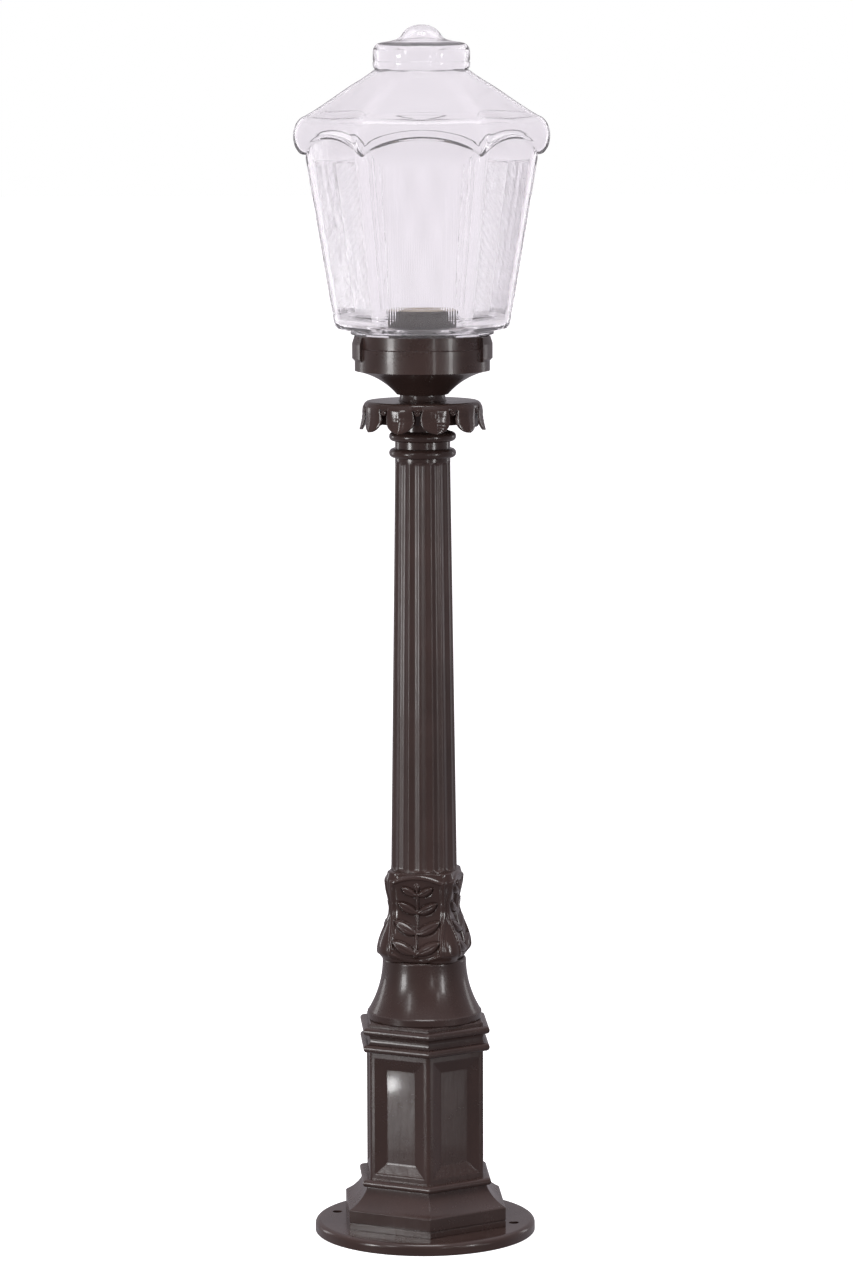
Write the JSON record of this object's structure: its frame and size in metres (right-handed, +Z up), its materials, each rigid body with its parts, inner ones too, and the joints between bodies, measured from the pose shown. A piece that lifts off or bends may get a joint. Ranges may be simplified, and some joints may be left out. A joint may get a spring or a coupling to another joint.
{
  "type": "garden post lantern",
  "caption": "Garden post lantern: six-sided clear globe with a bayonet neck on a fluted cast post, leaf crown, leaf sleeve, six-sided pedestal and round base plate.",
  "frame": {"origin": "middle of the underside of the base plate", "axes": "+Z up the post, -Y towards the front of the lantern, +X to the right seen from the front"},
  "size_m": [0.2332, 0.202, 1.1],
  "materials": {
    "paint": "gloss dark brown",
    "clear_plastic": "clear, slightly hazy",
    "rubber": "matt",
    "zinc": "zinc plated",
    "black_steel": "satin black",
    "porcelain": "glazed",
    "brass": "plain",
    "nylon": "matt",
    "lead_brown": "matt",
    "lead_blue": "matt",
    "lead_green": "matt"
  },
  "bodies": {
    "post": {"base_plate": "paint", "pedestal": "paint", "bell_collar": "paint", "leaf_sleeve": "paint", "fluted_column": "paint", "capital_ring": "paint", "leaf_crown": "paint", "neck_spacer": "paint", "lamp_housing": "paint", "tie_tube": "zinc", "inlet_bush": "nylon", "base_washer": "zinc", "base_nut": "zinc", "top_washer": "zinc", "top_nut": "zinc", "lampholder_bridge": "zinc", "bridge_screws": "zinc", "lampholder_cup": "black_steel", "lampholder_body": "porcelain", "lampholder_shell": "brass", "lampholder_contact": "brass", "lampholder_screws": "zinc", "terminal_block": "nylon", "terminal_screws": "brass", "terminal_fixings": "zinc", "lead_live": "lead_brown", "lead_neutral": "lead_blue", "lead_earth": "lead_green", "earth_screw": "zinc"},
    "turning_seal": {"globe_seal": "rubber"},
    "globe": {"globe": "clear_plastic"}
  },
  "joints": [
    {"name": "globe_twist", "type": "hinge", "parent": "post", "child": "turning_seal", "pos_m": [0, 0, 0.803], "axis": [0, 0, 1], "range_deg": [0, 30]},
    {"name": "globe_lift", "type": "slide", "parent": "turning_seal", "child": "globe", "axis": [0, 0, 1], "range_m": [0, 0.3]}
  ]
}
